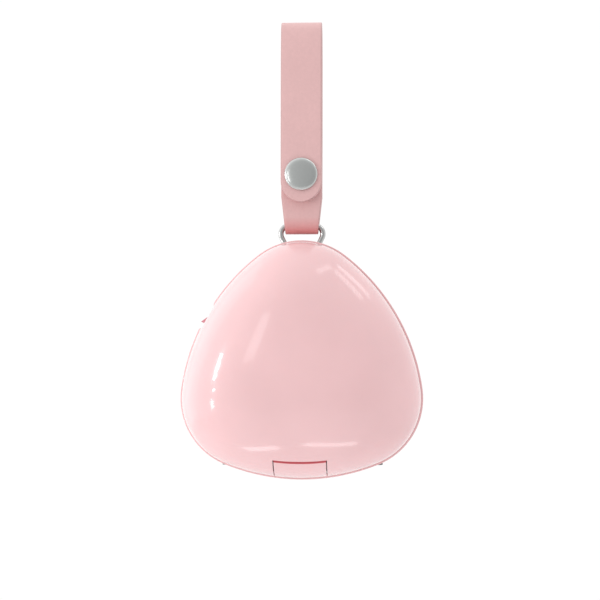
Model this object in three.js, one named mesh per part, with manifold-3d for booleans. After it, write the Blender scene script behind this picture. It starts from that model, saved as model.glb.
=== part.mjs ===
// Portable pacifier steriliser: a palm-size hinged case that hangs from a snap-on wrist strap.
// Millimetres, +Z up, -Y front. The origin is the hang point under the top fold of the strap.
import * as THREE from 'three';
import { mergeVertices } from 'three/addons/utils/BufferGeometryUtils.js';
import Module from 'manifold-3d';

const wasm = await Module();
wasm.setup();

// Case outline: a rounded triangle of three corner arcs and three side arcs.
const CORNER_R = 25.8;
const CORNER_GAP = 36.5;
const SIDE_R = 74;
const SEGMENTS = 48;
const RINGS = 7;
const PILLOW = 2.4; // exponent of the domes: higher is flatter in the middle
const BOTTOM_Z = -165.8;
const PART_Y = -4.2; // plane where lid and rear shell meet
const CORNER_OUT = CORNER_GAP / Math.sqrt(3);
const SIDE_OUT = Math.sqrt((SIDE_R - CORNER_R) ** 2 - (CORNER_GAP / 2) ** 2) - CORNER_OUT / 2;
const MID_Z = BOTTOM_Z + SIDE_R - SIDE_OUT;
const ROUND = 2.2; // how fast the inner rings lose the corners of the outline

// Shells
const WALL = 2;
const LID_DEPTH = 25;
const LID_SKIRT = 1.6;
const LID_INSET = 0.8;
const LID_GAP = 0.2;
const REAR_DEPTH = 27.5;
const REAR_BAND = 3.5;
const BACK_CUT = 26;
const MOUTH = 18.5; // inset of the chamber mouth
const FLOOR_Y = 13;

// Feet
const FOOT_X = 25;
const FOOT_Y = PART_Y + 9;
const FOOT_Z = BOTTOM_Z + 5;
const FOOT_R = 4.4;

// Lid hinge
const HINGE_Y = PART_Y - 3.2;
const HINGE_Z = BOTTOM_Z + 3.4;
const BLOCK_X = 9.3;
const BLOCK_TOP = BOTTOM_Z + 6.4;
const KNUCKLE_R = 12.8;
const LIP_R = 12.55; // hidden lip of the block, just inside the lid's notch

// Ring, its pin and the pocket it hangs in
const WIRE_R = 1;
const BAR_Z = -73.4;
const PIN_Z = -87.65;
const PIN_R = 1;
const POCKET_X = 10.8;
const POCKET_FLOOR = -91.2;
const POCKET_Y = 1.8;
const POCKET_WALL = 1.6;

// Strap
const STRAP_T = 1.6;
const STRAP_W = 14.9;
const FOLD_W = 12;
const SNAP_Z = -55.2;
const FLAP_Y = -6.3;
const INNER_Y = -2.6;

// Side button, on the middle of the upper left side arc
const BUTTON_AT = new THREE.Vector3(-34.35, PART_Y + 4.6, BOTTOM_Z + 59.77);
const BUTTON_OUT = new THREE.Vector3(-Math.sqrt(3) / 2, 0, 0.5);
const BUTTON_DOWN = new THREE.Vector3(-0.5, 0, -Math.sqrt(3) / 2);

const group = new THREE.Group();
group.name = 'pacifier_steriliser';

function add(name, geometry, color) {
  const material = new THREE.MeshStandardMaterial({ color });
  const mesh = new THREE.Mesh(geometry, material);
  mesh.name = name;
  group.add(mesh);
}

// ---- solids -------------------------------------------------------------------------------

function solid(geometry) {
  const plain = geometry.clone();
  plain.deleteAttribute('normal');
  plain.deleteAttribute('uv');
  const merged = mergeVertices(plain, 1e-3);
  const vertProperties = new Float32Array(merged.attributes.position.array);
  const triVerts = new Uint32Array(merged.index.array);
  return new wasm.Manifold(new wasm.Mesh({ numProp: 3, vertProperties, triVerts }));
}

function geometryOf(manifold) {
  const mesh = manifold.getMesh();
  const geometry = new THREE.BufferGeometry();
  const position = new Float32Array(mesh.numVert * 3);
  for (let i = 0; i < mesh.numVert; i += 1) {
    for (let k = 0; k < 3; k += 1) {
      position[3 * i + k] = mesh.vertProperties[mesh.numProp * i + k];
    }
  }
  geometry.setAttribute('position', new THREE.BufferAttribute(position, 3));
  geometry.setIndex(new THREE.BufferAttribute(new Uint32Array(mesh.triVerts), 1));
  return geometry;
}

const box = (x0, x1, y0, y1, z0, z1) => new THREE.BoxGeometry(x1 - x0, y1 - y0, z1 - z0)
  .translate((x0 + x1) / 2, (y0 + y1) / 2, (z0 + z1) / 2);

const rodX = (radius, x0, x1, y, z, sides = 20) => new THREE.CylinderGeometry(radius, radius, x1 - x0, sides)
  .rotateZ(Math.PI / 2)
  .translate((x0 + x1) / 2, y, z);

const rodY = (radius, x, y0, y1, z, sides = 20) => new THREE.CylinderGeometry(radius, radius, y1 - y0, sides)
  .translate(x, (y0 + y1) / 2, z);

const rodZ = (radius, x, y, z0, z1, sides = 20) => new THREE.CylinderGeometry(radius, radius, z1 - z0, sides)
  .rotateX(Math.PI / 2)
  .translate(x, y, (z0 + z1) / 2);

// A turned piece on an axis along Y: profile points are [radius, y].
function turnedY(profile, x, z, sides = 28) {
  const lathe = new THREE.LatheGeometry(profile.map(([r, y]) => new THREE.Vector2(r, y)), sides);
  lathe.translate(x, 0, z);
  return outward(Array.from(lathe.attributes.position.array), Array.from(lathe.index.array));
}

const subtract = (geometry, ...cutters) => geometryOf(
  cutters.reduce((s, cutter) => s.subtract(solid(cutter)), solid(geometry)),
);
const join = (geometry, ...more) => geometryOf(
  more.reduce((s, other) => s.add(solid(other)), solid(geometry)),
);
const common = (a, b) => geometryOf(solid(a).intersect(solid(b)));

// ---- case outline -------------------------------------------------------------------------

// Distance from the outline's centre to its edge, in the XZ plane, for an outline moved inwards.
function outlineRadius(angle, inset) {
  const third = (2 * Math.PI) / 3;
  const turned = (((angle - Math.PI / 2) % third) + third) % third;
  const t = Math.min(turned, third - turned);
  const corner = CORNER_R - inset;
  const side = SIDE_R - inset;
  const cx = CORNER_OUT;
  const sx = -SIDE_OUT / 2;
  const sz = (-SIDE_OUT * Math.sqrt(3)) / 2;
  const far = Math.hypot(cx - sx, sz);
  const jx = cx + (corner * (cx - sx)) / far;
  const jz = (corner * -sz) / far;
  if (t <= Math.atan2(jz, jx)) {
    return cx * Math.cos(t) + Math.sqrt(corner ** 2 - (cx * Math.sin(t)) ** 2);
  }
  const along = sx * Math.cos(t) + sz * Math.sin(t);
  return along + Math.sqrt(side ** 2 - SIDE_OUT ** 2 + along ** 2);
}

// Radius of a ring that lies a share of the way from the centre to the outline.
function ringRadius(angle, inset, share) {
  const edge = outlineRadius(angle, inset);
  const tip = outlineRadius(Math.PI / 2, inset);
  const flat = outlineRadius(-Math.PI / 2, inset);
  const soft = (tip + flat) / 2 + ((tip - flat) / 2) * Math.cos(3 * (angle - Math.PI / 2));
  const keep = share ** ROUND;
  return share * (soft + (edge - soft) * keep);
}

// A closed body swept round the outline: profile points are [share, inset, y], y from PART_Y.
function sweep(profile, closed = false, segments = SEGMENTS) {
  const positions = [];
  const index = [];
  const rows = profile.length;
  profile.forEach(([share, inset, y]) => {
    for (let i = 0; i < segments; i += 1) {
      const angle = (2 * Math.PI * i) / segments + Math.PI / 2;
      const r = ringRadius(angle, inset, share);
      positions.push(r * Math.cos(angle), PART_Y + y, MID_Z + r * Math.sin(angle));
    }
  });
  const last = closed ? rows : rows - 1;
  for (let k = 0; k < last; k += 1) {
    const a = k * segments;
    const b = ((k + 1) % rows) * segments;
    for (let i = 0; i < segments; i += 1) {
      const j = (i + 1) % segments;
      index.push(a + i, b + i, b + j, a + i, b + j, a + j);
    }
  }
  return outward(positions, index);
}

// Geometry with collapsed triangles dropped and its faces turned outwards.
function outward(positions, index) {
  const at = (i) => new THREE.Vector3().fromArray(positions, 3 * i);
  const kept = [];
  let volume = 0;
  for (let i = 0; i < index.length; i += 3) {
    const [a, b, c] = [at(index[i]), at(index[i + 1]), at(index[i + 2])];
    if (a.distanceTo(b) > 1e-3 && b.distanceTo(c) > 1e-3 && c.distanceTo(a) > 1e-3) {
      kept.push(index[i], index[i + 1], index[i + 2]);
      volume += a.dot(b.cross(c));
    }
  }
  if (volume < 0) {
    kept.reverse();
  }
  const geometry = new THREE.BufferGeometry();
  geometry.setAttribute('position', new THREE.Float32BufferAttribute(positions, 3));
  geometry.setIndex(kept);
  return geometry;
}

// Rings of a dome from its apex out to its foot: y runs from foot + depth to foot.
function dome(inset, foot, depth, rings = RINGS) {
  const rows = [];
  for (let k = 0; k <= rings; k += 1) {
    const phi = (Math.PI * k) / (2 * rings);
    rows.push([Math.sin(phi) ** (2 / PILLOW), inset, foot + depth * Math.cos(phi)]);
  }
  return rows;
}

const lidOuter = (grow = 0) => sweep([
  ...dome(LID_INSET - grow, -LID_SKIRT, -(LID_DEPTH - LID_SKIRT + grow)),
  [1, LID_INSET - grow, -LID_GAP - 0.5 + grow],
  [1, LID_INSET - grow + 0.5, -LID_GAP + grow],
  [0, LID_INSET, -LID_GAP + grow],
]);

const rearOuter = (grow = 0) => sweep([
  ...dome(-grow, REAR_BAND, REAR_DEPTH - REAR_BAND + grow),
  [1, -grow, 0.4 - grow],
  [1, 0.4 - grow, -grow],
  [0, 0, -grow],
]);

// ---- case, rear half ----------------------------------------------------------------------

function buttonFrame(geometry) {
  const turn = new THREE.Matrix4().makeBasis(BUTTON_DOWN, new THREE.Vector3(0, -1, 0), BUTTON_OUT);
  return geometry.applyMatrix4(turn.setPosition(BUTTON_AT));
}

// A prism across the button's width, from a side view of [down, out] points.
function buttonPrism(points, halfWidth) {
  const shape = new THREE.Shape(points.map(([u, n]) => new THREE.Vector2(u, n)));
  const prism = new THREE.ExtrudeGeometry(shape, { depth: 2 * halfWidth, bevelEnabled: false });
  prism.translate(0, 0, -halfWidth).rotateX(Math.PI / 2);
  return buttonFrame(prism);
}

const buttonScoop = (y0, y1) => {
  const scoop = buttonPrism([[-5.2, 1], [-5.2, -0.1], [-1.5, -1.25], [4.4, -1.25], [6, -0.1], [6, 1]], (y1 - y0) / 2);
  return scoop.translate(0, (y0 + y1) / 2 + PART_Y - BUTTON_AT.y, 0);
};

const SCREWS = [[-30.5, 22], [30.5, 22], [-17, 70], [17, 70]];
const MAGNET_X = 26;
const MAGNET_Z = BOTTOM_Z + 61;

function rearShell() {
  const inner = dome(WALL, REAR_BAND, REAR_DEPTH - REAR_BAND - WALL).reverse();
  const skin = sweep([
    ...dome(0, REAR_BAND, REAR_DEPTH - REAR_BAND),
    [1, 0, 0.4],
    [1, 0.4, 0],
    [1, WALL, 0],
    ...inner,
  ]);
  const flatBack = box(-60, 60, PART_Y + BACK_CUT, PART_Y + 40, -180, -60);
  const outer = subtract(rearOuter(), flatBack);
  const backWall = common(outer, box(-26, 26, PART_Y + BACK_CUT - WALL, PART_Y + 40, MID_Z - 26, MID_Z + 26));
  const pocketWalls = common(outer, box(
    -POCKET_X - POCKET_WALL,
    POCKET_X + POCKET_WALL,
    -POCKET_Y - 1.5,
    POCKET_Y + 1.8,
    POCKET_FLOOR - POCKET_WALL,
    -60,
  ));
  const bosses = SCREWS.map(([x, z]) => common(outer, rodY(3, x, PART_Y + 2.5, PART_Y + 24, BOTTOM_Z + z, 12)));
  const portBoss = common(outer, box(-8.4, 8.4, PART_Y + 6, PART_Y + 16.2, BOTTOM_Z, BOTTOM_Z + 6));
  const body = join(subtract(skin, flatBack), backWall, pocketWalls, portBoss, ...bosses);
  const pilots = SCREWS.map(([x, z]) => rodY(1.1, x, PART_Y, PART_Y + 10, BOTTOM_Z + z, 12));
  return subtract(
    body,
    box(-POCKET_X, POCKET_X, -POCKET_Y, POCKET_Y, POCKET_FLOOR, -60),
    rodY(PIN_R + 0.1, 0, -3, 3.2, PIN_Z),
    buttonScoop(-1, 8.8),
    buttonFrame(box(-1.35, 3.65, -2.15, 2.15, -8, 2)),
    box(-5.4, 5.4, PART_Y + 9.6, PART_Y + 13.4, BOTTOM_Z - 2, BOTTOM_Z + 7),
    box(-6.8, 6.8, PART_Y + 7.6, PART_Y + 14.6, BOTTOM_Z - 2, BOTTOM_Z + 4.6),
    ...pilots,
  );
}

function chamberLiner() {
  const tray = sweep([
    [0, 19.5, FLOOR_Y + 1.3],
    [0.5, 19.5, FLOOR_Y + 1.3],
    [1, 20.2, FLOOR_Y + 1.3],
    [1, 18.9, FLOOR_Y],
    [1, 17.2, 2.3],
    [1, 2.5, 2.3],
    [1, 2.5, 0.8],
    [1, MOUTH, 0.8],
    [1, 20.2, FLOOR_Y - 1.4],
    [1, 21.4, FLOOR_Y],
    [0.5, 21.4, FLOOR_Y],
    [0, 21.4, FLOOR_Y],
  ]);
  const holes = SCREWS.map(([x, z]) => rodY(1.5, x, PART_Y, PART_Y + 3, BOTTOM_Z + z, 16));
  const magnets = [-MAGNET_X, MAGNET_X].map((x) => rodY(2.7, x, PART_Y, PART_Y + 3, MAGNET_Z));
  return subtract(
    tray,
    rodY(8, 0, PART_Y + 10, PART_Y + 20, MID_Z, 32),
    box(
      -POCKET_X - POCKET_WALL - 0.3,
      POCKET_X + POCKET_WALL + 0.3,
      PART_Y,
      PART_Y + 3,
      POCKET_FLOOR - POCKET_WALL - 0.3,
      -70,
    ),
    buttonScoop(-1, 4),
    ...holes,
    ...magnets,
  );
}

const rimSeal = () => sweep([[1, 16, 0.75], [1, 16, 0], [1, 16.7, -0.6], [1, 17.4, 0], [1, 17.4, 0.75]], true);

function foot(x) {
  const post = rodZ(FOOT_R, x, FOOT_Y, FOOT_Z, BOTTOM_Z + 18, 20);
  return subtract(post, rearOuter(0.15));
}

function ledBoard() {
  const board = rodY(15, 0, PART_Y + 17.4, PART_Y + 18.6, MID_Z, 32);
  return subtract(board, rodY(1.4, 11.5, PART_Y + 17, PART_Y + 19, MID_Z, 12));
}

function controlBoard() {
  const board = box(-15, 15, PART_Y + 13.5, PART_Y + 14.7, BOTTOM_Z + 9.6, BOTTOM_Z + 16.6);
  const chip = box(5.5, 11, PART_Y + 12.4, PART_Y + 13.6, BOTTOM_Z + 11, BOTTOM_Z + 15.6);
  const coil = box(-12.5, -8.5, PART_Y + 11.6, PART_Y + 13.6, BOTTOM_Z + 11.2, BOTTOM_Z + 15.2);
  return join(board, chip, coil);
}

function usbSocket() {
  const shape = new THREE.Shape();
  shape.absarc(-2.9, 0, 1.6, Math.PI / 2, -Math.PI / 2);
  shape.absarc(2.9, 0, 1.6, -Math.PI / 2, Math.PI / 2);
  const hole = new THREE.Path();
  hole.absarc(-2.9, 0, 1.25, Math.PI / 2, -Math.PI / 2);
  hole.absarc(2.9, 0, 1.25, -Math.PI / 2, Math.PI / 2);
  shape.holes.push(hole);
  const can = new THREE.ExtrudeGeometry(shape, { depth: 7.2, bevelEnabled: false, curveSegments: 8 });
  const tongue = box(-3.3, 3.3, -0.3, 0.3, 1.2, 7.2);
  const back = box(-3.6, 3.6, -1.4, 1.4, 6.4, 7.2);
  return join(can, tongue, back).translate(0, PART_Y + 11.5, BOTTOM_Z + 6.2);
}

function portCover() {
  const plate = box(-6.4, 6.4, PART_Y + 8.1, PART_Y + 14.2, BOTTOM_Z - 1, BOTTOM_Z + 4.4);
  const plug = box(-3.2, 3.2, PART_Y + 10.7, PART_Y + 12, BOTTOM_Z + 4.3, BOTTOM_Z + 5.6);
  const pull = rodX(0.55, -2.5, 2.5, PART_Y + 13.9, BOTTOM_Z + 3.1, 12);
  return join(common(plate, rearOuter()), plug, pull);
}

function sideButton() {
  const cap = buttonPrism([[-1.1, -2], [-1.1, -1.05], [3.4, 0.9], [3.15, -2]], 1.9);
  const stem = buttonFrame(box(-0.2, 2.2, -1.1, 1.1, -4, -1.5));
  const stop = buttonFrame(box(-1.9, 3.9, -3.1, 1.9, -4.6, -3.9));
  return join(cap, stem, stop);
}

function tactSwitch() {
  const body = buttonFrame(box(-2, 4, -3.9, 1.9, -10, -6.9));
  const plunger = buttonFrame(new THREE.CylinderGeometry(1.5, 1.5, 1.4, 16).rotateX(Math.PI / 2).translate(1, 0, -6.4));
  return join(body, plunger);
}

function linerScrew(x, z) {
  const head = [[0, -0.7], [1, -0.7], [2.3, 0], [2.3, 0.7], [0.95, 0.7], [0.95, 8], [0, 8.6]];
  const screw = turnedY(head.map(([r, y]) => [r, PART_Y + y]), x, BOTTOM_Z + z, 20);
  return subtract(screw, box(x - 1, x + 1, PART_Y - 2, PART_Y - 0.25, BOTTOM_Z + z - 0.25, BOTTOM_Z + z + 0.25));
}

// ---- case, lid ----------------------------------------------------------------------------

const knuckleSweep = (halfWidth) => rodX(KNUCKLE_R, -halfWidth, halfWidth, HINGE_Y, HINGE_Z, 48);

function lidShell() {
  const skin = sweep([
    ...dome(LID_INSET, -LID_SKIRT, -(LID_DEPTH - LID_SKIRT)),
    [1, LID_INSET, -LID_GAP - 0.5],
    [1, LID_INSET + 0.5, -LID_GAP],
    [1, LID_INSET + WALL, -LID_GAP],
    ...dome(LID_INSET + WALL, -LID_SKIRT, -(LID_DEPTH - LID_SKIRT - WALL)).reverse(),
  ]);
  const ears = [-1, 1].map((side) => common(lidOuter(), box(
    side * 12.05 - 1.75,
    side * 12.05 + 1.75,
    HINGE_Y - 3,
    PART_Y,
    BOTTOM_Z - 1,
    HINGE_Z + 2.6,
  )));
  return subtract(
    join(skin, ...ears),
    knuckleSweep(BLOCK_X + 0.35),
    rodX(1, -13.6, 13.6, HINGE_Y, HINGE_Z),
    buttonScoop(-7, 1),
  );
}

function lidLiner() {
  const bowl = sweep([
    ...dome(17.3, -2, -18.2, 6),
    [1, 3.4, -2],
    [1, 3.4, -0.8],
    ...dome(MOUTH, -0.8, -18.2, 6).reverse(),
  ]);
  const magnets = [-MAGNET_X, MAGNET_X].map((x) => rodY(2.7, x, PART_Y - 3, PART_Y, MAGNET_Z));
  return subtract(
    bowl,
    box(-14.2, 14.2, PART_Y - 5, PART_Y, BOTTOM_Z, BOTTOM_Z + 16.3),
    buttonScoop(-7, 1),
    ...magnets,
  );
}

function hingeBlock() {
  const block = common(lidOuter(), box(-BLOCK_X, BLOCK_X, PART_Y - 20, PART_Y, BOTTOM_Z - 1, BLOCK_TOP));
  const slab = box(-BLOCK_X, BLOCK_X, HINGE_Y - 11.4, HINGE_Y - 4, BLOCK_TOP - 1, BLOCK_TOP + 2.2);
  const lip = common(common(lidOuter(), slab), rodX(LIP_R, -BLOCK_X, BLOCK_X, HINGE_Y, HINGE_Z, 48));
  return subtract(join(block, lip), rodX(1, -11, 11, HINGE_Y, HINGE_Z));
}

// ---- ring and strap -----------------------------------------------------------------------

function ringPath() {
  const slope = 0.4558;
  const path = new THREE.Path();
  path.moveTo(4.7, BAR_Z);
  path.absarc(4.7, BAR_Z - 3, 3, Math.PI / 2, -slope, true);
  path.absarc(0, BAR_Z - 13.95, 2.4, -slope, Math.PI + slope, true);
  path.absarc(-4.7, BAR_Z - 3, 3, Math.PI + slope, Math.PI / 2, true);
  path.lineTo(4.7, BAR_Z);
  const points = path.getSpacedPoints(60).slice(0, -1).map((p) => new THREE.Vector3(p.x, 0, p.y));
  return new THREE.CatmullRomCurve3(points, true, 'centripetal');
}

// Strap width at a height: full, narrowing to the fold round the ring's bar.
function strapHalfWidth(z) {
  const down = THREE.MathUtils.clamp((-63 - z) / 12.7, 0, 1);
  return THREE.MathUtils.lerp(STRAP_W, FOLD_W, down) / 2;
}

// A flat ribbon along side-view points [y, z], as wide at each point as halfWidth says.
function ribbon(points, halfWidth, count) {
  const curve = new THREE.CatmullRomCurve3(
    points.map(([y, z]) => new THREE.Vector3(0, y, z)),
    false,
    'centripetal',
  );
  const positions = [];
  const index = [];
  for (let k = 0; k <= count; k += 1) {
    const p = curve.getPointAt(k / count);
    const along = curve.getTangentAt(k / count);
    const w = halfWidth(p.z);
    [[-w, -1], [w, -1], [w, 1], [-w, 1]].forEach(([x, side]) => {
      const off = (side * STRAP_T) / 2;
      positions.push(x, p.y - along.z * off, p.z + along.y * off);
    });
  }
  for (let k = 0; k < count; k += 1) {
    for (let i = 0; i < 4; i += 1) {
      const a = 4 * k + i;
      const b = 4 * k + ((i + 1) % 4);
      index.push(a, b, b + 4, a, b + 4, a + 4);
    }
  }
  const end = 4 * count;
  index.push(0, 2, 1, 0, 3, 2, end, end + 1, end + 2, end, end + 2, end + 3);
  return outward(positions, index);
}

function strapBackRun() {
  const fold = [];
  for (let k = 0; k <= 6; k += 1) {
    const a = Math.PI + (Math.PI * k) / 6;
    fold.push([2.35 * Math.cos(a), BAR_Z + 2.35 * Math.sin(a)]);
  }
  const path = [
    [INNER_Y, -45],
    [INNER_Y, SNAP_Z],
    [-2.6, -64],
    ...fold,
    [2.5, -64],
    [4.1, -44],
    [5.1, -24],
    [5.2, -11],
    [3.3, -1.2],
    [0, 0.8],
    [-3.3, -1.2],
    [-5.1, -8.6],
  ];
  const run = ribbon(path, strapHalfWidth, 92);
  return subtract(run, rodY(1.5, 0, INNER_Y - 2, INNER_Y + 2, SNAP_Z, 16));
}

function strapFrontRun() {
  const tip = -65.1;
  const r = STRAP_W / 2;
  const halfWidth = (z) => {
    const into = r - Math.max(0, z - tip);
    return into > 0 ? Math.sqrt(Math.max(r * r - into * into, 0.36)) : r;
  };
  const path = [[-5.18, -9], [-5.9, -22], [-6.35, -40], [FLAP_Y, SNAP_Z], [-6.2, tip]];
  const run = ribbon(path, halfWidth, 56);
  return subtract(run, rodY(1.5, 0, FLAP_Y - 2, FLAP_Y + 2, SNAP_Z, 16));
}

function snapCap() {
  const face = FLAP_Y - STRAP_T / 2;
  return turnedY([
    [0, face - 1.75],
    [2, face - 1.7],
    [4, face - 1.45],
    [5.4, face - 0.95],
    [6, face - 0.5],
    [5.8, face - 0.1],
    [1.2, face - 0.05],
    [1.2, FLAP_Y + 1],
    [0, FLAP_Y + 1],
  ], 0, SNAP_Z);
}

function snapSocket() {
  const back = FLAP_Y + STRAP_T / 2;
  return turnedY([
    [2.2, back + 0.1],
    [4.9, back + 0.1],
    [5.1, back + 0.5],
    [3.6, back + 0.8],
    [3.4, back + 1.5],
    [2.2, back + 1.5],
    [2.2, back + 0.1],
  ], 0, SNAP_Z, 24);
}

function snapStud() {
  const face = INNER_Y - STRAP_T / 2;
  return turnedY([
    [0, face - 1.8],
    [1.6, face - 1.8],
    [1.8, face - 1.5],
    [1.6, face - 0.9],
    [1.6, face - 0.4],
    [4.5, face - 0.3],
    [4.5, face - 0.05],
    [0, face - 0.05],
  ], 0, SNAP_Z, 24);
}

function snapPost() {
  const back = INNER_Y + STRAP_T / 2;
  return turnedY([
    [0, back + 0.9],
    [3.2, back + 0.8],
    [4.5, back + 0.35],
    [4.5, back + 0.1],
    [1.2, back + 0.1],
    [1.2, INNER_Y - 0.7],
    [0, INNER_Y - 0.7],
  ], 0, SNAP_Z, 24);
}

function batteryLead() {
  const route = [[-9, 20, -17.2], [-10, 20, -20], [-10.5, 18.6, -23.4], [-10.4, 16.2, -25.5]];
  const path = new THREE.CatmullRomCurve3(
    route.map(([x, y, z]) => new THREE.Vector3(x, PART_Y + y, MID_Z + z)),
  );
  const shape = new THREE.Shape();
  shape.absarc(0, 0, 0.7, 0, 2 * Math.PI);
  return new THREE.ExtrudeGeometry(shape, { steps: 12, extrudePath: path, curveSegments: 5 });
}

// ---- assembly -----------------------------------------------------------------------------

const PINK = 0xeec6c8;
const ROSE = 0xe2b8b8;
const STEEL = 0xb9bcbe;
const DARK = 0x46464a;
const GREEN = 0x2f6b4a;

add('strap_back_run', strapBackRun(), ROSE);
add('strap_front_run', strapFrontRun(), ROSE);
add('snap_cap', snapCap(), STEEL);
add('snap_socket', snapSocket(), STEEL);
add('snap_stud', snapStud(), STEEL);
add('snap_post', snapPost(), STEEL);
add('strap_ring', new THREE.TubeGeometry(ringPath(), 48, WIRE_R, 8, true), STEEL);
add('ring_pin', rodY(PIN_R, 0, -2.9, 3.1, PIN_Z, 16), STEEL);
add('rear_shell', rearShell(), PINK);
add('hinge_block', hingeBlock(), PINK);
add('hinge_pin', rodX(0.8, -13.4, 13.4, HINGE_Y, HINGE_Z, 16), STEEL);
add('chamber_liner', chamberLiner(), 0xd8dadc);
add('rim_seal', rimSeal(), 0xf4f4f2);
add('foot_left', foot(-FOOT_X), DARK);
add('foot_right', foot(FOOT_X), DARK);
add('led_board', ledBoard(), GREEN);
add('uv_led_left', box(-5.2, -1.7, PART_Y + 16.2, PART_Y + 17.3, MID_Z - 1.75, MID_Z + 1.75), 0xe8e0b0);
add('uv_led_right', box(1.7, 5.2, PART_Y + 16.2, PART_Y + 17.3, MID_Z - 1.75, MID_Z + 1.75), 0xe8e0b0);
add('quartz_window', rodY(9.5, 0, PART_Y + 14.4, PART_Y + 15.9, MID_Z, 32), 0xdfeaf2);
add('battery', box(-14, 14, PART_Y + 19, PART_Y + 23, MID_Z - 14.5, MID_Z + 14), 0x9fa4aa);
add('battery_lead', batteryLead(), 0xa03030);
add('control_board', controlBoard(), GREEN);
add('usb_socket', usbSocket(), STEEL);
add('port_cover', portCover(), ROSE);
add('side_button', sideButton(), 0xd99aa0);
add('tact_switch', tactSwitch(), DARK);
add('case_magnet_left', rodY(2.5, -MAGNET_X, PART_Y + 0.7, PART_Y + 2.3, MAGNET_Z), STEEL);
add('case_magnet_right', rodY(2.5, MAGNET_X, PART_Y + 0.7, PART_Y + 2.3, MAGNET_Z), STEEL);
SCREWS.forEach(([x, z], i) => add(`liner_screw_${i + 1}`, linerScrew(x, z), STEEL));
add('lid_shell', lidShell(), PINK);
add('lid_liner', lidLiner(), 0xd8dadc);
add('lid_magnet_left', rodY(2.5, -MAGNET_X, PART_Y - 2.3, PART_Y - 0.7, MAGNET_Z), STEEL);
add('lid_magnet_right', rodY(2.5, MAGNET_X, PART_Y - 2.3, PART_Y - 0.7, MAGNET_Z), STEEL);

export default group;
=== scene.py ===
import math

import bmesh
import bpy
import numpy as np
from mathutils import Matrix, Vector


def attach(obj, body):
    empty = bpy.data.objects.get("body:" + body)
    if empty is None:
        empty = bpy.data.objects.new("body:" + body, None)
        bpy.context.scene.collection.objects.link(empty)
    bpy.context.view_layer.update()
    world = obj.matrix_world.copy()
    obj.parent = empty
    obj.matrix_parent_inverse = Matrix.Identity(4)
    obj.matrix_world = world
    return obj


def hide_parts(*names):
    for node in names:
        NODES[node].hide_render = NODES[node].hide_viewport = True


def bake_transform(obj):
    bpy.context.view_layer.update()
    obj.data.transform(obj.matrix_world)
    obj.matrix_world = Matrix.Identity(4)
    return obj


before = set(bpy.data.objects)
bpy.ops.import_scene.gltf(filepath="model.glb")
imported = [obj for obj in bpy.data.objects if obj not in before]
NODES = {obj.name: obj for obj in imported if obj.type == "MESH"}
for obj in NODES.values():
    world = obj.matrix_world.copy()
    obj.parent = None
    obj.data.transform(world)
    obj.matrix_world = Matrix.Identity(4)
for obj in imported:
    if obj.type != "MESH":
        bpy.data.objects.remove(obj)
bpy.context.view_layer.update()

# ---- sizes, in millimetres as in the CAD ---------------------------------------------------
MM = 0.001
# Outline: three corner arcs joined by three side arcs, and how full the two halves are.
CORNER_R, CORNER_GAP, SIDE_R = 25.8, 36.5, 74.0
PILLOW, ROUND = 2.4, 2.2
BOTTOM_Z, PART_Y = -165.8, -4.2
CORNER_OUT = CORNER_GAP / math.sqrt(3)
SIDE_OUT = math.sqrt((SIDE_R - CORNER_R) ** 2 - (CORNER_GAP / 2) ** 2) - CORNER_OUT / 2
MID_Z = BOTTOM_Z + SIDE_R - SIDE_OUT
# Lid and rear shell, measured from the parting plane at PART_Y.
WALL, LID_DEPTH, LID_SKIRT, LID_INSET, LID_GAP, LID_EDGE = 2.0, 25.0, 1.6, 0.8, 0.2, 0.4
REAR_DEPTH, REAR_BAND, REAR_EDGE, BACK_CUT = 27.5, 3.5, 0.35, 26.0
SCREWS = [(-30.5, 22), (30.5, 22), (-17, 70), (17, 70)]
# Hinge: the pin, the block on the case, its lip in the gap, and the lid's ears beside it.
HINGE_Y, HINGE_Z, HINGE_R = PART_Y - 3.2, BOTTOM_Z + 3.4, 1.0
BLOCK_X, BLOCK_TOP, BLOCK_GAP, KNUCKLE_R = 9.3, BOTTOM_Z + 6.4, 0.35, 12.8
LIP_R, LIP_OUT, LIP_IN, LIP_RISE = 12.55, 11.4, 4.0, 2.2
EAR_X, EAR_HALF, EAR_BACK, EAR_RISE = 12.05, 1.75, 3.0, 2.6
ARC_SIDES = 160
# Side button, its finger scoop and its well.
BUTTON_Y = 4.6
BUTTON_AT = (-34.35, PART_Y + BUTTON_Y, BOTTOM_Z + 59.77)
SCOOP_DEEP = 1.15
GRIP_LINES, GRIP_STEP, GRIP_HALF, GRIP_DEEP = 3, 0.75, 0.12, 0.16
# Feet, the ring, its pin and its pocket.
FOOT_X, FOOT_Y, FOOT_Z, FOOT_R = 25.0, PART_Y + 9, BOTTOM_Z + 5, 4.4
WIRE_R, BAR_Z, PIN_Z, PIN_R = 1.0, -73.4, -87.65, 1.0
RING_SLOPE, RING_HALF, RING_TOP_R, RING_LOW, RING_LOW_R = 0.4558, 4.7, 3.0, 13.95, 2.4
POCKET_X, POCKET_FLOOR, POCKET_Y, POCKET_WALL = 10.8, -91.2, 1.8, 1.6
# Strap: side-view places of its runs, its taper towards the ring, and the snap.
STRAP_T, STRAP_W, STRAP_EDGE, FOLD_W, FOLD_R = 1.6, 14.9, 0.35, 12.0, 2.35
TAPER_TOP, TAPER_LONG = -63.0, 12.7
SNAP_Z, SNAP_R, SNAP_HOLE_R, FLAP_Y, INNER_Y, FLAP_TIP = -55.2, 6.0, 1.5, -6.3, -2.6, -65.1


# ---- mesh helpers --------------------------------------------------------------------------

def link_mesh(name, verts, faces):
    """An object in the scene from points in millimetres."""
    mesh = bpy.data.meshes.new(name)
    mesh.from_pydata([tuple(c * MM for c in v) for v in verts], [], faces)
    mesh.update()
    obj = bpy.data.objects.new(name, mesh)
    bpy.context.scene.collection.objects.link(obj)
    return obj


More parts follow.
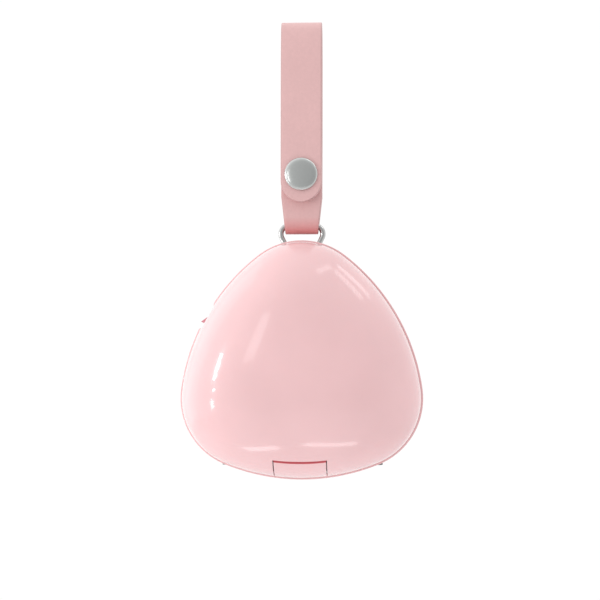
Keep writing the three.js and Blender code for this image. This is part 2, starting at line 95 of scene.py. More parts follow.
def mend(obj, merge=0, degenerate=0):
    """Joins points and drops empty faces within these distances in metres; faces turn outward."""
    bm = bmesh.new()
    bm.from_mesh(obj.data)
    if merge:
        bmesh.ops.remove_doubles(bm, verts=bm.verts, dist=merge)
    if degenerate:
        bmesh.ops.dissolve_degenerate(bm, dist=degenerate, edges=bm.edges)
    bmesh.ops.recalc_face_normals(bm, faces=bm.faces)
    bm.to_mesh(obj.data)
    bm.free()
    return obj


def new_object(name, verts, faces):
    return mend(link_mesh(name, verts, faces), 1e-6)


def clean(obj):
    return mend(obj, 1e-7, 1e-8)


def apply_modifiers(obj):
    graph = bpy.context.evaluated_depsgraph_get()
    mesh = bpy.data.meshes.new_from_object(obj.evaluated_get(graph))
    obj.modifiers.clear()
    obj.data = mesh


def boolean(obj, cutter, operation="DIFFERENCE"):
    mod = obj.modifiers.new("cut", "BOOLEAN")
    mod.operation = operation
    mod.solver = "EXACT"
    mod.object = cutter
    apply_modifiers(obj)
    bpy.data.objects.remove(cutter)
    return obj


def bevel(obj, width, angle, segments=2):
    mod = obj.modifiers.new("edge", "BEVEL")
    mod.width = width * MM
    mod.segments = segments
    mod.limit_method = "ANGLE"
    mod.angle_limit = math.radians(angle)
    mod.use_clamp_overlap = True


def soften(obj, width, angle=35, segments=2):
    """Rounds the sharp edges a little and shades the rest smooth."""
    bevel(obj, width, angle, segments)
    apply_modifiers(obj)
    smooth(obj, angle)


def smooth(obj, angle):
    mesh = obj.data
    for poly in mesh.polygons:
        poly.use_smooth = True
    mesh.set_sharp_from_angle(angle=math.radians(angle))


def paint(obj, *materials):
    obj.data.materials.clear()
    for material in materials:
        obj.data.materials.append(material)
    return obj


def box(x0, x1, y0, y1, z0, z1, name="box"):
    verts = [(x, y, z) for x in (x0, x1) for y in (y0, y1) for z in (z0, z1)]
    faces = [(0, 1, 3, 2), (4, 6, 7, 5), (0, 4, 5, 1), (2, 3, 7, 6), (0, 2, 6, 4), (1, 5, 7, 3)]
    return new_object(name, verts, faces)


def rod(axis, radius, start, end, centre, sides=48, name="rod"):
    """A cylinder along axis 0, 1 or 2; centre is its place on the other two axes."""
    verts = []
    for at in (start, end):
        for i in range(sides):
            a = 2 * math.pi * i / sides
            v = [centre[0] + radius * math.cos(a), centre[1] + radius * math.sin(a)]
            v.insert(axis, at)
            verts.append(v)
    faces = [(i, (i + 1) % sides, sides + (i + 1) % sides, sides + i) for i in range(sides)]
    faces += [tuple(range(sides)), tuple(range(2 * sides - 1, sides - 1, -1))]
    return new_object(name, verts, faces)


def hinge_rod(radius, half, sides=48):
    """A cylinder on the hinge's axis, reaching half to either side."""
    return rod(0, radius, -half, half, (HINGE_Y, HINGE_Z), sides)


def turned(name, profile, x, z, sides=96):
    """A piece turned about an axis along Y, from one end to the other: points are (radius, y)."""
    verts, faces = [], []
    for r, y in profile:
        for i in range(sides):
            a = 2 * math.pi * i / sides
            verts.append((x + r * math.cos(a), y, z + r * math.sin(a)))
    for k in range(len(profile) - 1):
        a, b = k * sides, (k + 1) * sides
        faces += [(a + i, b + i, b + (i + 1) % sides, a + (i + 1) % sides) for i in range(sides)]
    return clean(new_object(name, verts, faces))


# ---- case outline --------------------------------------------------------------------------

def outline_radius(angle, inset):
    """Distance from the middle to the outline at angle, with the outline moved in by inset."""
    third = 2 * math.pi / 3
    turned_by = (angle - math.pi / 2) % third
    t = min(turned_by, third - turned_by)
    corner, side = CORNER_R - inset, SIDE_R - inset
    sx, sz = -SIDE_OUT / 2, -SIDE_OUT * math.sqrt(3) / 2
    far = math.hypot(CORNER_OUT - sx, sz)
    jx = CORNER_OUT + corner * (CORNER_OUT - sx) / far
    jz = corner * -sz / far
    if t <= math.atan2(jz, jx):
        return CORNER_OUT * math.cos(t) + math.sqrt(corner**2 - (CORNER_OUT * math.sin(t)) ** 2)
    along = sx * math.cos(t) + sz * math.sin(t)
    return along + math.sqrt(side**2 - SIDE_OUT**2 + along**2)


def loop_radius(angle, inset, share):
    """The same for a smaller loop at share of the outline, which turns rounder inward."""
    edge = outline_radius(angle, inset)
    tip = outline_radius(math.pi / 2, inset)
    flat = outline_radius(-math.pi / 2, inset)
    soft = (tip + flat) / 2 + (tip - flat) / 2 * math.cos(3 * (angle - math.pi / 2))
    return share * (soft + (edge - soft) * share**ROUND)


def sweep(name, profile, segments=240):
    """A solid of outline loops; profile rows are (share of the outline, inset, y from PART_Y)."""
    verts, faces = [], []
    for share, inset, y in profile:
        for i in range(segments):
            angle = 2 * math.pi * i / segments + math.pi / 2
            r = loop_radius(angle, inset, share)
            verts.append((r * math.cos(angle), PART_Y + y, MID_Z + r * math.sin(angle)))
    for k in range(len(profile) - 1):
        a, b = k * segments, (k + 1) * segments
        for i in range(segments):
            j = (i + 1) % segments
            faces.append((a + i, b + i, b + j, a + j))
    return clean(new_object(name, verts, faces))


def dome(inset, foot, depth, rings=40):
    """Profile rows from the crown at foot + depth out to the wall at foot."""
    rows = []
    for k in range(rings + 1):
        phi = math.pi * k / (2 * rings)
        rows.append((math.sin(phi) ** (2 / PILLOW), inset, foot + depth * math.cos(phi)))
    return rows


def corner(inset, y, radius, y_sign, steps=5):
    """Rounded edge from the outer wall at inset to the flat at y: y_sign is the way to the flat."""
    rows = []
    for k in range(steps + 1):
        a = math.pi / 2 * k / steps
        inward, back = radius - radius * math.cos(a), radius - radius * math.sin(a)
        rows.append((1, inset + inward, y - y_sign * back))
    return rows


def button_frame(obj):
    """Moves a piece made about the button's own middle (down, back, out) to its place."""
    down, out = Vector((-0.5, 0, -math.sqrt(3) / 2)), Vector((-math.sqrt(3) / 2, 0, 0.5))
    at = Vector(BUTTON_AT) * MM
    turn = Matrix((down, Vector((0, -1, 0)), out)).transposed().to_4x4()
    obj.data.transform(Matrix.Translation(at) @ turn)
    return obj


def button_prism(name, points, y0, y1):
    """A prism across the button: points are (down, out), y0 and y1 are measured from PART_Y."""
    n = len(points)
    lo, hi = BUTTON_Y - y0, BUTTON_Y - y1
    verts = [(u, lo, v) for u, v in points] + [(u, hi, v) for u, v in points]
    faces = [tuple(range(n)), tuple(range(2 * n - 1, n - 1, -1))]
    faces += [(i, (i + 1) % n, n + (i + 1) % n, n + i) for i in range(n)]
    return button_frame(new_object(name, verts, faces))


def ease(t, height):
    return height * t * t * (3 - 2 * t)


def scoop(y0, y1):
    """A shallow finger scoop with rounded ends along the side."""
    points = [(-5.2, 1.5), (-5.2, -0.1)]
    points += [(-5.2 + 3.7 * t, -0.1 - ease(t, SCOOP_DEEP)) for t in np.linspace(0.1, 1, 8)]
    points += [(4.4 + 1.6 * t, -1.25 + ease(t, SCOOP_DEEP)) for t in np.linspace(0, 0.9, 7)]
    points += [(6, -0.1), (6, 1.5)]
    return button_prism("scoop", points, y0, y1)


# ---- materials -----------------------------------------------------------------------------

class Nodes:
    """Short calls for building one material's node tree."""

    def __init__(self, name):
        self.material = bpy.data.materials.new(name)
        self.material.use_nodes = True
        self.tree = self.material.node_tree
        self.shader = next(n for n in self.tree.nodes if n.type == "BSDF_PRINCIPLED")
        self.coords = self.tree.nodes.new("ShaderNodeTexCoord").outputs["Object"]

    def node(self, kind, values=None, **links):
        n = self.tree.nodes.new(kind)
        for key, value in (values or {}).items():
            if key in n.inputs.keys():
                n.inputs[key].default_value = value
            else:
                setattr(n, key, value)
        for key, socket in links.items():
            self.tree.links.new(socket, n.inputs[key])
        return n

    def noise(self, scale, detail=4, roughness=0.5, vector=None):
        values = {"Scale": scale, "Detail": detail, "Roughness": roughness}
        return self.node("ShaderNodeTexNoise", values, Vector=vector or self.coords).outputs["Fac"]

    def cells(self, scale, feature="F1"):
        values = {"feature": feature, "Scale": scale}
        return self.node("ShaderNodeTexVoronoi", values, Vector=self.coords).outputs["Distance"]

    def stretched(self, x, y, z):
        values = {"Scale": (x, y, z)}
        return self.node("ShaderNodeMapping", values, Vector=self.coords).outputs["Vector"]

    def spread(self, value, low, high, to_low, to_high):
        n = self.node("ShaderNodeMapRange", {"clamp": True}, Value=value)
        for i, v in enumerate((low, high, to_low, to_high)):
            n.inputs[1 + i].default_value = v
        return n.outputs["Result"]

    def ramp(self, value, *stops):
        n = self.node("ShaderNodeValToRGB", {}, Fac=value)
        elements = n.color_ramp.elements
        while len(elements) < len(stops):
            elements.new(0.5)
        for element, (at, color) in zip(elements, stops):
            element.position = at
            element.color = (*color, 1)
        return n.outputs["Color"]

    def bump(self, height, strength, distance, normal=None):
        n = self.node("ShaderNodeBump", {"Strength": strength, "Distance": distance}, Height=height)
        if normal is not None:
            self.tree.links.new(normal, n.inputs["Normal"])
        return n.outputs["Normal"]

    def set(self, **values):
        for key, value in values.items():
            key = key.replace("_", " ")
            socket = self.shader.inputs[key]
            if isinstance(value, bpy.types.NodeSocket):
                self.tree.links.new(value, socket)
            else:
                socket.default_value = value
        return self


def tinted(color, share):
    return tuple(min(1, c * share) for c in color)


def moulded(name, color, roughness=0.14, coat=0.5, grain=0.012, vary=0.03):
    """Injection-moulded plastic: faint cloudiness, fine surface waviness and handling marks."""
    n = Nodes(name)
    cloud = n.noise(35, 3)
    n.set(Base_Color=n.ramp(cloud, (0.3, tinted(color, 1 - vary)), (0.7, tinted(color, 1 + vary))))
    rub = n.spread(n.noise(210, 6, 0.62), 0.42, 0.68, roughness, roughness + 0.07)
    n.set(Roughness=rub)
    wave = n.bump(n.noise(260, 2), 0.05, 0.0002)
    n.set(Normal=n.bump(n.noise(3600, 2), grain, 0.0001, wave))
    n.set(Coat_Weight=coat, Coat_Roughness=0.025, IOR=1.49, Subsurface_Weight=0.06)
    n.shader.inputs["Subsurface Radius"].default_value = (0.004, 0.0018, 0.0014)
    n.shader.inputs["Subsurface Scale"].default_value = 0.6
    return n.material


def leather(name, color, cell_scale=1500):
    """Synthetic leather, pebbled and uneven in colour, with painted shade that turns it deeper near
    the ring's fold.
    """
    n = Nodes(name)
    cloud = n.noise(60, 5, 0.6)
    fine = n.noise(900, 3)
    mixed = n.node("ShaderNodeMath", {"operation": "ADD"})
    n.tree.links.new(cloud, mixed.inputs[0])
    n.tree.links.new(fine, mixed.inputs[1])
    tone = n.spread(mixed.outputs[0], 0.75, 1.25, 0, 1)
    dyed = n.ramp(tone, (0.0, tinted(color, 0.97)), (0.55, color), (1.0, tinted(color, 1.03)))
    # Painted shade: towards the ring's fold the colour is multiplied darker and redder, by height.
    height = n.node("ShaderNodeSeparateXYZ", {}, Vector=n.coords).outputs["Z"]
    fold_shade = n.node("ShaderNodeMix", {"data_type": "RGBA", "blend_type": "MULTIPLY"})
    n.tree.links.new(n.spread(height, *FOLD_SHADE_FROM_TO, 0, 1), fold_shade.inputs[0])
    n.tree.links.new(dyed, fold_shade.inputs[6])
    fold_shade.inputs[7].default_value = FOLD_SHADE_TINT
    n.set(Base_Color=fold_shade.outputs[2])
    creases = n.spread(n.cells(cell_scale, "SMOOTH_F1"), 0.0, 0.8, 0, 1)
    creases = n.bump(creases, 0.28, 0.00009)
    n.set(Normal=n.bump(fine, 0.12, 0.00008, creases))
    n.set(Roughness=n.spread(n.noise(400, 4), 0.35, 0.7, 0.50, 0.66))
    n.set(Sheen_Weight=0.25, Sheen_Roughness=0.45, IOR=1.45)
    return n.material


def metal(name, color, roughness=0.2, streak=None, bump=0.02):
    """Plated or brushed metal: streaks along one direction, or a soft satin all over."""
    n = Nodes(name)
    vector = n.stretched(*streak) if streak else n.coords
    lines = n.noise(900, 4, 0.6, vector)
    n.set(Base_Color=n.ramp(n.noise(120, 4), (0.3, tinted(color, 1 - 0.06)), (0.7, color)))
    n.set(Metallic=1.0, Roughness=n.spread(lines, 0.3, 0.7, roughness * 0.75, roughness * 1.35))
    n.set(Normal=n.bump(lines, bump, 0.00005))
    return n.material


def rubber(name, color, roughness, grain=1400, sheen=0.1):
    """Matt rubber or silicone with a dusty, uneven surface."""
    n = Nodes(name)
    cloud = n.noise(150, 5, 0.6)
    n.set(Base_Color=n.ramp(cloud, (0.3, tinted(color, 0.85)), (0.75, tinted(color, 1.12))))
    n.set(Roughness=n.spread(n.noise(500, 4), 0.3, 0.7, roughness - 0.08, roughness + 0.08))
    n.set(Normal=n.bump(n.noise(grain, 3), 0.15, 0.00012))
    n.set(Sheen_Weight=sheen, IOR=1.5)
    return n.material


def board(name):
    """Solder mask over copper tracks."""
    n = Nodes(name)
    tracks = n.cells(420)
    n.set(Base_Color=n.ramp(tracks, (0.25, (0.012, 0.10, 0.045)), (0.42, (0.03, 0.20, 0.09))))
    n.set(Roughness=n.spread(n.noise(700, 3), 0.3, 0.7, 0.28, 0.42), Coat_Weight=0.3)
    n.set(Normal=n.bump(n.spread(tracks, 0.3, 0.4, 0, 1), 0.3, 0.00005))
    return n.material


def quartz(name):
    n = Nodes(name)
    n.set(Base_Color=(0.93, 0.96, 0.98, 1), Transmission_Weight=0.9, IOR=1.46)
    n.set(Roughness=n.spread(n.noise(150, 3), 0.3, 0.7, 0.02, 0.06))
    return n.material


# The heights in metres between which painted shade turns the strap deeper towards the ring's fold,
# and the colour it is multiplied by.
FOLD_SHADE_FROM_TO = (-0.0705, -0.0758)
FOLD_SHADE_TINT = (0.92, 0.55, 0.55, 1)

PINK = (0.88, 0.56, 0.572)
ROSE = (0.77, 0.48, 0.475)
shell_pink = moulded("shell_pink", PINK)
# Deep red painted shade for the faces seen in the hinge gap, where the gap lies in shadow.
gap_shade_rose = moulded("gap_shade_rose", (0.66, 0.11, 0.13), 0.4, 0.0)
strap_leather = leather("strap_leather", ROSE)
strap_edge = leather("strap_edge", tinted(ROSE, 0.82), 700)
snap_metal = metal("snap_metal", (0.58, 0.60, 0.59), 0.2)
ring_metal = metal("ring_metal", (0.52, 0.515, 0.51), 0.10, bump=0.01)
pin_steel = metal("pin_steel", (0.55, 0.55, 0.55), 0.3)
reflector = moulded("liner_reflector", (0.74, 0.75, 0.77), 0.14, 0.6, vary=0.02)
reflector.node_tree.nodes["Principled BSDF"].inputs["Metallic"].default_value = 0.75
silicone = rubber("seal_silicone", (0.82, 0.82, 0.80), 0.5, 900)
foot_rubber = rubber("foot_rubber", (0.10, 0.088, 0.092), 0.62)
circuit = board("circuit_board")
led_body = moulded("led_body", (0.78, 0.70, 0.35), 0.2, 0.5)
window_glass = quartz("window_glass")
pouch = metal("battery_pouch", (0.58, 0.59, 0.61), 0.35, bump=0.2)
lead_red = rubber("lead_insulation", (0.5, 0.04, 0.035), 0.4, 800)
socket_steel = metal("socket_steel", (0.6, 0.6, 0.6), 0.25, (1, 1, 0.05))
switch_black = moulded("switch_plastic", (0.03, 0.03, 0.033), 0.45, 0.0, 0.05)
magnet_nickel = metal("magnet_nickel", (0.66, 0.64, 0.60), 0.14)
button_rose = moulded("button_rose", (0.66, 0.28, 0.33), 0.34, 0.05, 0.04)
cover_silicone = rubber("cover_silicone", (0.74, 0.42, 0.44), 0.55, 1000, 0.3)
screw_steel = metal("screw_steel", (0.56, 0.56, 0.57), 0.28, (1, 1, 0.2))

CAD_LOOKS = {
    "chamber_liner": reflector, "lid_liner": reflector, "rim_seal": silicone, "led_board": circuit,
    "control_board": circuit, "uv_led_left": led_body, "uv_led_right": led_body,
    "quartz_window": window_glass, "battery": pouch, "battery_lead": lead_red,
    "usb_socket": socket_steel, "tact_switch": switch_black, "ring_pin": pin_steel,
    "hinge_pin": pin_steel, "case_magnet_left": magnet_nickel, "case_magnet_right": magnet_nickel,
    "lid_magnet_left": magnet_nickel, "lid_magnet_right": magnet_nickel,
    "port_cover": cover_silicone, "snap_socket": snap_metal, "snap_stud": snap_metal,
    "snap_post": snap_metal,
}
CAD_LOOKS.update({"liner_screw_%d" % i: screw_steel for i in range(1, 5)})
UNBEVELLED = ("battery_lead", "lid_liner", "chamber_liner", "rim_seal")
for name, material in CAD_LOOKS.items():
    node = NODES[name]
    paint(node, material)
    smooth(node, 32)
    if name not in UNBEVELLED:
        bevel(node, 0.12, 40)


def place(obj, body, slot, *replaced):
    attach(obj, body)
    if replaced:
        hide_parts(*replaced)
    return obj


# ---- lid -----------------------------------------------------------------------------------

def lid_wall():
    """Profile of the lid's outside, from its crown to the parting plane."""
    return [
        *dome(LID_INSET, -LID_SKIRT, -(LID_DEPTH - LID_SKIRT)),
        *corner(LID_INSET, -LID_GAP, LID_EDGE, 1),
    ]


def lid_outer(name):
    """The lid's outer shape, solid."""
    return sweep(name, [*lid_wall(), (0, LID_INSET, -LID_GAP)])


def make_lid():
    inner = dome(LID_INSET + WALL, -LID_SKIRT, -(LID_DEPTH - LID_SKIRT - WALL))
    mouth = (1, LID_INSET + WALL, -LID_GAP)
    lid = sweep("lid_shell_skin", [*lid_wall(), mouth, *reversed(inner)])
    for side in (-1, 1):
        ear = lid_outer("ear")
        extent = box(side * EAR_X - EAR_HALF, side * EAR_X + EAR_HALF, HINGE_Y - EAR_BACK, PART_Y,
                     BOTTOM_Z - 1, HINGE_Z + EAR_RISE)
        boolean(ear, extent, "INTERSECT")
        boolean(lid, ear, "UNION")
    boolean(lid, hinge_rod(KNUCKLE_R, BLOCK_X + BLOCK_GAP, ARC_SIDES))
    boolean(lid, hinge_rod(HINGE_R, 13.6))
    boolean(lid, scoop(-7, 1))
    soften(lid, 0.22)
    paint(lid, shell_pink, gap_shade_rose)
    # The knuckle-cut faces seen in the gap above the block get the deep red painted shade.
    for poly in lid.data.polygons:
        at = poly.center / MM
        reach = math.hypot(at.y - HINGE_Y, at.z - HINGE_Z)
        in_gap = abs(reach - KNUCKLE_R) < 0.1 and abs(at.x) < BLOCK_X + 0.3
        if in_gap and at.z > BLOCK_TOP - 1:
            poly.material_index = 1
    return place(lid, "lid", "shell_pink", "lid_shell")


def make_hinge_block():
    block = lid_outer("hinge_block_skin")
    extent = box(-BLOCK_X, BLOCK_X, PART_Y - 20, PART_Y, BOTTOM_Z - 1, BLOCK_TOP)
    boolean(block, extent, "INTERSECT")
    lip = lid_outer("lip")
    extent = box(-BLOCK_X, BLOCK_X, HINGE_Y - LIP_OUT, HINGE_Y - LIP_IN,
                 BLOCK_TOP - 1, BLOCK_TOP + LIP_RISE)
    boolean(lip, extent, "INTERSECT")
    boolean(lip, hinge_rod(LIP_R, BLOCK_X, ARC_SIDES), "INTERSECT")
    boolean(block, lip, "UNION")
    boolean(block, hinge_rod(HINGE_R, 11))
    soften(block, 0.18)
    paint(block, shell_pink, gap_shade_rose)
    # The block's top and lip faces seen in the gap get the deep red painted shade.
    for poly in block.data.polygons:
        at = poly.center / MM
        if at.z > BLOCK_TOP - 0.15 and poly.normal.z > -0.5:
            poly.material_index = 1
    return place(block, "case", "shell_pink", "hinge_block")


# ---- rear shell ----------------------------------------------------------------------------

def rear_wall():
    """Profile of the rear shell's outside, from its crown to the parting plane."""
    return [*dome(0, REAR_BAND, REAR_DEPTH - REAR_BAND), *corner(0, 0, REAR_EDGE, -1)]


def cut_back(shell):
    """The flat on the back of the case."""
    return boolean(shell, box(-60, 60, PART_Y + BACK_CUT, PART_Y + 40, -180, -60))


def rear_outer(name):
    """The rear shell's outer shape, solid."""
    return cut_back(sweep(name, [*rear_wall(), (0, 0, 0)]))


def make_rear():
    inner = dome(WALL, REAR_BAND, BACK_CUT - REAR_BAND - WALL)
    rear = cut_back(sweep("rear_shell_skin", [*rear_wall(), (1, WALL, 0), *reversed(inner)]))
    pocket = box(-POCKET_X - POCKET_WALL, POCKET_X + POCKET_WALL, -POCKET_Y - 1.5, POCKET_Y + 1.8,
                 POCKET_FLOOR - POCKET_WALL, -60)
    port = box(-8.4, 8.4, PART_Y + 6, PART_Y + 16.2, BOTTOM_Z, BOTTOM_Z + 6)
    bosses = [rod(1, 3, PART_Y + 2.5, PART_Y + 24, (x, BOTTOM_Z + z), 32) for x, z in SCREWS]
    for extent in (pocket, port, *bosses):
        lump = rear_outer("lump")
        boolean(lump, extent, "INTERSECT")
        boolean(rear, lump, "UNION")
    cutters = [
        box(-POCKET_X, POCKET_X, -POCKET_Y, POCKET_Y, POCKET_FLOOR, -60),
        rod(1, PIN_R + 0.1, -3, 3.2, (0, PIN_Z)),
        scoop(-1, 8.8),
        button_frame(box(-1.35, 3.65, -2.15, 2.15, -8, 2)),
        box(-5.4, 5.4, PART_Y + 9.6, PART_Y + 13.4, BOTTOM_Z - 2, BOTTOM_Z + 7),
        box(-6.8, 6.8, PART_Y + 7.6, PART_Y + 14.6, BOTTOM_Z - 2, BOTTOM_Z + 4.6),
    ]
    cutters += [rod(1, 1.1, PART_Y, PART_Y + 10, (x, BOTTOM_Z + z), 24) for x, z in SCREWS]
    for cutter in cutters:
        boolean(rear, cutter)
    soften(rear, 0.22)
    paint(rear, shell_pink)
    return place(rear, "case", "shell_pink", "rear_shell")


def make_foot(side, name):
    foot = rod(2, FOOT_R, FOOT_Z, BOTTOM_Z + 18, (side * FOOT_X, FOOT_Y), 64, name + "_pad")
    boolean(foot, rear_outer("shell"))
    soften(foot, 0.5, 40, 3)
    paint(foot, foot_rubber)
    return place(foot, "case", "foot_rubber", name)


def make_button():
    wedge = [(-1.1, -2), (-1.1, -1.05), (3.4, 0.9), (3.15, -2)]
    cap = button_prism("side_button_cap", wedge, BUTTON_Y - 1.9, BUTTON_Y + 1.9)
    boolean(cap, button_frame(box(-0.2, 2.2, -1.1, 1.1, -4, -1.5)), "UNION")
    boolean(cap, button_frame(box(-1.9, 3.9, -3.1, 1.9, -4.6, -3.9)), "UNION")
    for k in range(GRIP_LINES):
        u = 0.9 + GRIP_STEP * k
        face = -1.05 + (u + 1.1) * 1.95 / 4.5
        groove = box(u - GRIP_HALF, u + GRIP_HALF, -1.35, 1.35, face - GRIP_DEEP, face + 0.6)
        boolean(cap, button_frame(groove))
    soften(cap, 0.12)
    paint(cap, button_rose)
    return place(cap, "side_button", "button_rose", "side_button")


# ---- ring ----------------------------------------------------------------------------------

def even_points(line, count, endpoint=True):
    """Evenly spaced points along a polyline."""
    steps = np.hypot(*np.diff(line, axis=0).T)
    along = np.concatenate([[0], np.cumsum(steps)])
    at = np.linspace(0, along[-1], count, endpoint=endpoint)
    return np.stack([np.interp(at, along, line[:, 0]), np.interp(at, along, line[:, 1])], 1)


def ring_points(count=220):
    """The wire's middle line: a bar on top and two legs that meet in a round bottom."""
    arcs = [
        ((RING_HALF, -RING_TOP_R), RING_TOP_R, math.pi / 2, -RING_SLOPE),
        ((0, -RING_LOW), RING_LOW_R, -RING_SLOPE, -math.pi + RING_SLOPE),
        ((-RING_HALF, -RING_TOP_R), RING_TOP_R, math.pi + RING_SLOPE, math.pi / 2),
    ]
    points = []
    for (cx, cz), r, a0, a1 in arcs:
        for t in np.linspace(0, 1, 24):
            a = a0 + (a1 - a0) * t
            points.append((cx + r * math.cos(a), cz + r * math.sin(a)))
    points.append(points[0])
    return even_points(np.array(points), count, endpoint=False)


def make_ring(sides=28):
    points = ring_points()
    n = len(points)
    verts, faces = [], []
    for k in range(n):
        tangent = points[(k + 1) % n] - points[k - 1]
        tangent /= np.linalg.norm(tangent)
        normal = np.array([tangent[1], -tangent[0]])
        for i in range(sides):
            a = 2 * math.pi * i / sides
            x, z = points[k] + normal * WIRE_R * math.cos(a)
            verts.append((x, WIRE_R * math.sin(a), BAR_Z + z))
    for k in range(n):
        a, b = k * sides, ((k + 1) % n) * sides
        faces += [(a + i, b + i, b + (i + 1) % sides, a + (i + 1) % sides) for i in range(sides)]
    ring = new_object("strap_ring_wire", verts, faces)
    smooth(ring, 60)
    paint(ring, ring_metal)
    return place(ring, "ring", "ring_metal", "strap_ring")


# ---- strap ---------------------------------------------------------------------------------

def spline(points, count):
    """Points evenly spaced along a centripetal spline through the given side-view points."""
    pts = [np.array(p, float) for p in points]
    pts = [2 * pts[0] - pts[1]] + pts + [2 * pts[-1] - pts[-2]]
    out = []
    for i in range(1, len(pts) - 2):
        p0, p1, p2, p3 = pts[i - 1:i + 3]
        t0 = 0.0
        t1 = t0 + np.linalg.norm(p1 - p0) ** 0.5
        t2 = t1 + np.linalg.norm(p2 - p1) ** 0.5
        t3 = t2 + np.linalg.norm(p3 - p2) ** 0.5
        for t in np.linspace(t1, t2, 24, endpoint=i == len(pts) - 3):
            a1 = (t1 - t) / (t1 - t0) * p0 + (t - t0) / (t1 - t0) * p1
            a2 = (t2 - t) / (t2 - t1) * p1 + (t - t1) / (t2 - t1) * p2
            a3 = (t3 - t) / (t3 - t2) * p2 + (t - t2) / (t3 - t2) * p3
            b1 = (t2 - t) / (t2 - t0) * a1 + (t - t0) / (t2 - t0) * a2
            b2 = (t3 - t) / (t3 - t1) * a2 + (t - t1) / (t3 - t1) * a3
            out.append((t2 - t) / (t2 - t1) * b1 + (t - t1) / (t2 - t1) * b2)
    return even_points(np.array(out), count)


def strap_half_width(z):
    t = min(max((TAPER_TOP - z) / TAPER_LONG, 0), 1)
    return (STRAP_W + (FOLD_W - STRAP_W) * t) / 2


def flap_half_width(z):
    """Full width down to the round tip."""
    r = STRAP_W / 2
    into = r - max(0, z - FLAP_TIP)
    return math.sqrt(max(r * r - into * into, 0.3)) if into > 0 else r


def strap_section(across=14):
    """The strap's cross-section: rows of (side or share, inset, height, 1 on the cut edge)."""
    r, t = STRAP_EDGE, STRAP_T / 2
    flat = [-1 + 2 * k / across for k in range(across + 1)]
    arc = [(-r * (1 - math.sin(a)), t - r * (1 - math.cos(a))) for a in (0.5, 1.0)] + [(0, t - r)]
    edge = [(inset, -high) for inset, high in arc] + arc[::-1]
    return [
        *[(x, -r, -t, 0) for x in flat],
        *[(1, inset, high, 1) for inset, high in edge],
        *[(x, -r, t, 0) for x in reversed(flat)],
        *[(-1, inset, -high, 1) for inset, high in edge],
    ]


def ribbon(name, line, half_width):
    """A strap along side-view points; the faces of its cut edges get slot 1."""
    n = len(line)
    ring = strap_section()
    m = len(ring)
    verts, faces, edge = [], [], []
    for k in range(n):
        tangent = line[min(k + 1, n - 1)] - line[max(k - 1, 0)]
        tangent /= np.linalg.norm(tangent)
        w = half_width(line[k][1])
        for share, inward, off, _ in ring:
            x = share * (w + inward) if abs(share) == 1 else share * (w - STRAP_EDGE)
            verts.append((x, line[k][0] - tangent[1] * off, line[k][1] + tangent[0] * off))
    for k in range(n - 1):
        for i in range(m):
            j = (i + 1) % m
            faces.append((k * m + i, k * m + j, (k + 1) * m + j, (k + 1) * m + i))
            edge.append(1 if ring[i][3] or ring[j][3] else 0)
    faces += [tuple(range(m - 1, -1, -1)), tuple(range((n - 1) * m, n * m))]
    edge += [1, 1]
    obj = link_mesh(name, verts, faces)
    paint(obj, strap_leather, strap_edge)
    for poly, slot in zip(obj.data.polygons, edge):
        poly.material_index = slot
        poly.use_smooth = True
    return mend(obj)


def strap_path():
    """Side-view points (y, z): the inner end, the ring's fold, the back run, the top, the front."""
    fold = []
    for k in range(7):
        a = math.pi + math.pi * k / 6
        fold.append((FOLD_R * math.cos(a), BAR_Z + FOLD_R * math.sin(a)))
    return [
        (INNER_Y, -45), (INNER_Y, SNAP_Z), (INNER_Y, -64), *fold,
        (2.5, -64), (4.1, -44), (5.1, -24), (5.2, -11),
        (3.3, -1.2), (0, 0.8), (-3.3, -1.2),
        (-5.1, -8.6), (-5.9, -22), (-6.35, -40), (FLAP_Y, SNAP_Z), (-6.2, FLAP_TIP),
    ]


def make_strap():
    line = spline(strap_path(), 620)
    top = int(np.argmax(line[:, 1]))
    back = ribbon("strap_back_leather", line[:top + 1], strap_half_width)
    flap = ribbon("strap_front_leather", line[top:], flap_half_width)
    for obj, y in ((back, INNER_Y), (flap, FLAP_Y)):
        boolean(obj, rod(1, SNAP_HOLE_R, y - 1.4, y + 1.4, (0, SNAP_Z)))
        obj.data.set_sharp_from_angle(angle=math.radians(50))
    place(back, "strap", "strap_leather", "strap_back_run")
    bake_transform(flap)
    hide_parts("strap_front_run")


def make_snap_cap():
    face = FLAP_Y - STRAP_T / 2
    profile = [(0, face - 1.75)]
    for k in range(1, 22):
        a = math.pi / 2 * k / 21
        profile.append((SNAP_R * math.sin(a) ** 0.92, face - 0.5 - 1.25 * math.cos(a) ** 0.8))
    profile += [(5.97, face - 0.32), (5.8, face - 0.1), (1.2, face - 0.05)]
    profile += [(1.2, FLAP_Y + 1), (0, FLAP_Y + 1)]
    cap = turned("snap_cap_face", profile, 0, SNAP_Z)
    smooth(cap, 40)
    paint(cap, snap_metal)
    return place(cap, "strap_flap", "snap_metal", "snap_cap")


make_lid()
make_hinge_block()
make_rear()
make_foot(-1, "foot_left")
make_foot(1, "foot_right")
make_button()
make_ring()
make_strap()
make_snap_cap()


# ---- stage, light and camera ---------------------------------------------------------------

FLOOR_R, FLOOR_TOP, FLOOR_T = 900, -500, 5
ROOM_LIGHT, ROOM_FRONT, ROOM_LEFT, ROOM_RIGHT, ROOM_SEEN = 0.98, 0.45, 1.24, 1.0, 1.02
AIM = Vector((-0.0007, 0, -0.1006))
CAMERA_AZ, CAMERA_EL, CAMERA_FAR, VIEW_MM, SENSOR_MM = 2.5, -2.5, 0.62, 219.4, 36


def toward(azimuth, elevation):
    """The direction at azimuth (from the front, to the right) and elevation, in degrees."""
    a, e = math.radians(azimuth), math.radians(elevation)
    return Vector((math.sin(a) * math.cos(e), -math.cos(a) * math.cos(e), math.sin(e)))


def facing(obj, location, out):
    """Puts a lamp or camera at location, looking back against out."""
    obj.location = location
    obj.rotation_euler = (-out).to_track_quat("-Z", "Y").to_euler()
    bpy.context.scene.collection.objects.link(obj)


